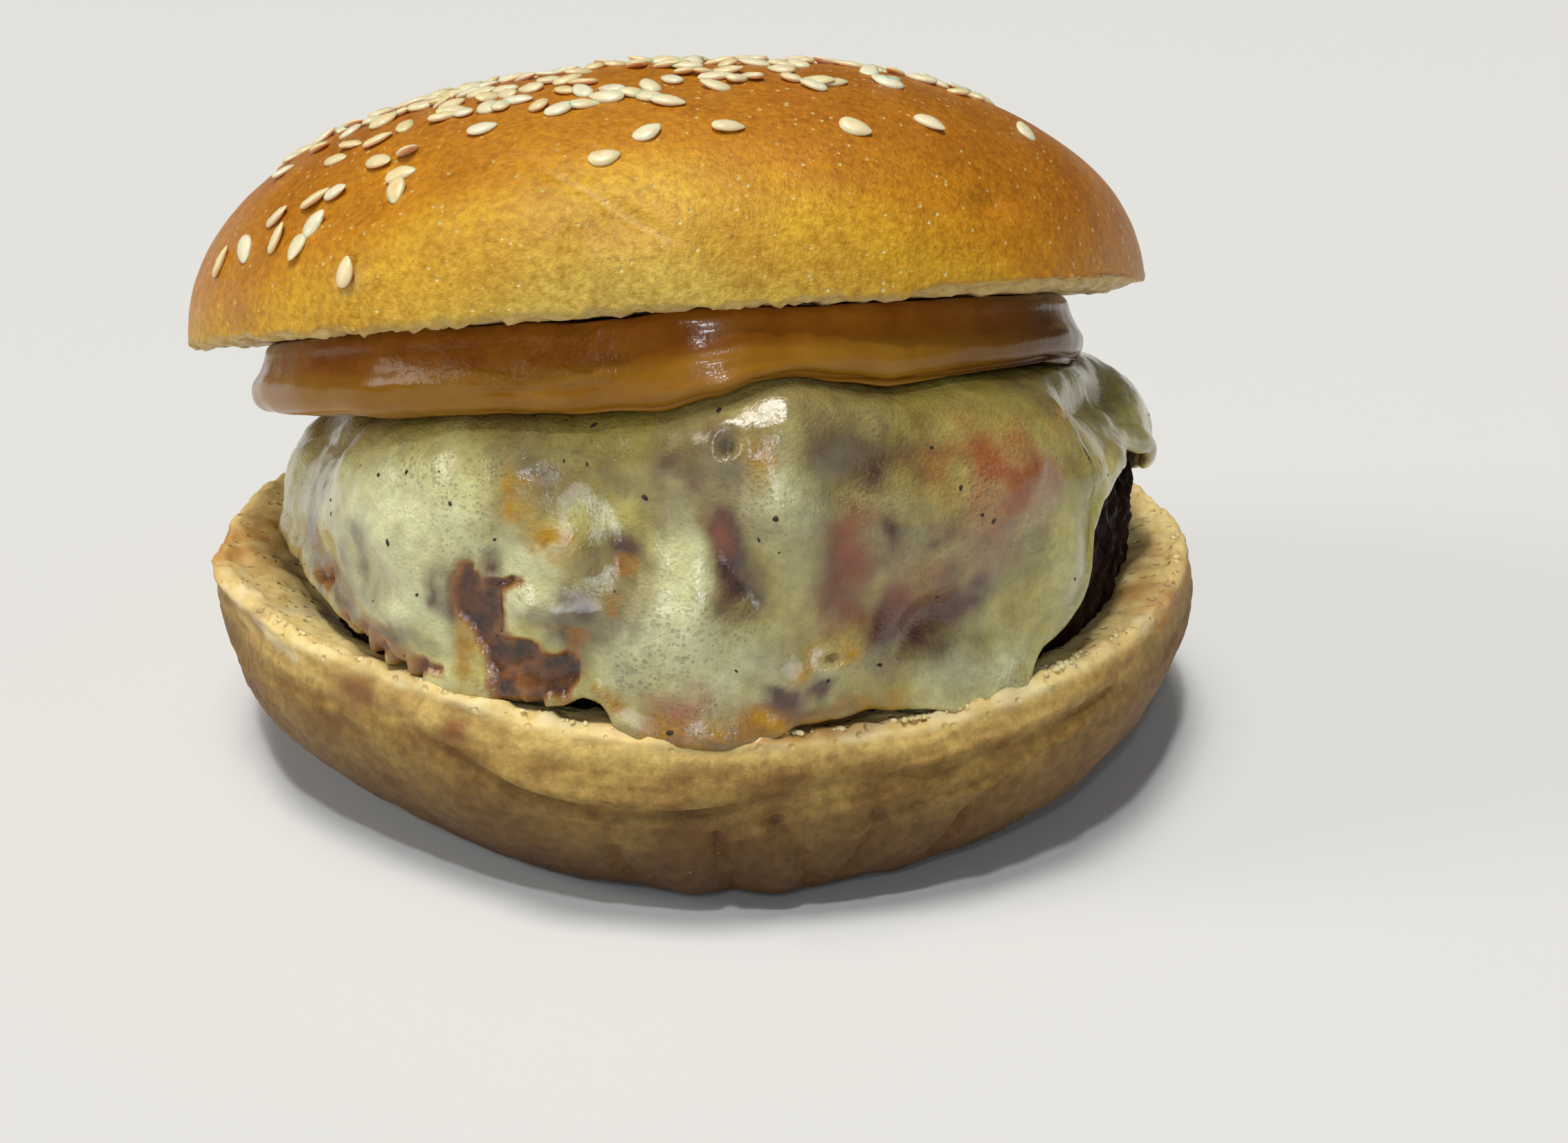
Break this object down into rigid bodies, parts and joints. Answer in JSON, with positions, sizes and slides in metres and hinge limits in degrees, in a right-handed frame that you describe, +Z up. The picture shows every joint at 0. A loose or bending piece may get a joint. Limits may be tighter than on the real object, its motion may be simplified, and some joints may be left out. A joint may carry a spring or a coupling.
{
  "type": "cheeseburger",
  "caption": "Stacked cheeseburger: domed bun crown tipped back on a band of sauce, melted cheese draped over a thick beef patty, and a flat-bottomed bun heel.",
  "frame": {"origin": "On the flat underside of the bun heel, at the centre of the heel.", "axes": "+Z is up. -Y is the front, where the cheese hangs lowest and the crown's rim is lifted. +X is the burger's right as seen from the front."},
  "size_m": [0.1088, 0.1048, 0.0727],
  "materials": {
    "heel_bread": "soft matt bread",
    "ground_beef": "moist browned meat",
    "cheese": "greasy melted gloss",
    "sauce": "wet gloss",
    "crown_crust": "glazed satin crust"
  },
  "bodies": {
    "root": {"bun_heel": "heel_bread", "beef_patty": "ground_beef", "melted_cheese": "cheese", "burger_sauce": "sauce", "bun_crown": "crown_crust"}
  },
  "joints": []
}
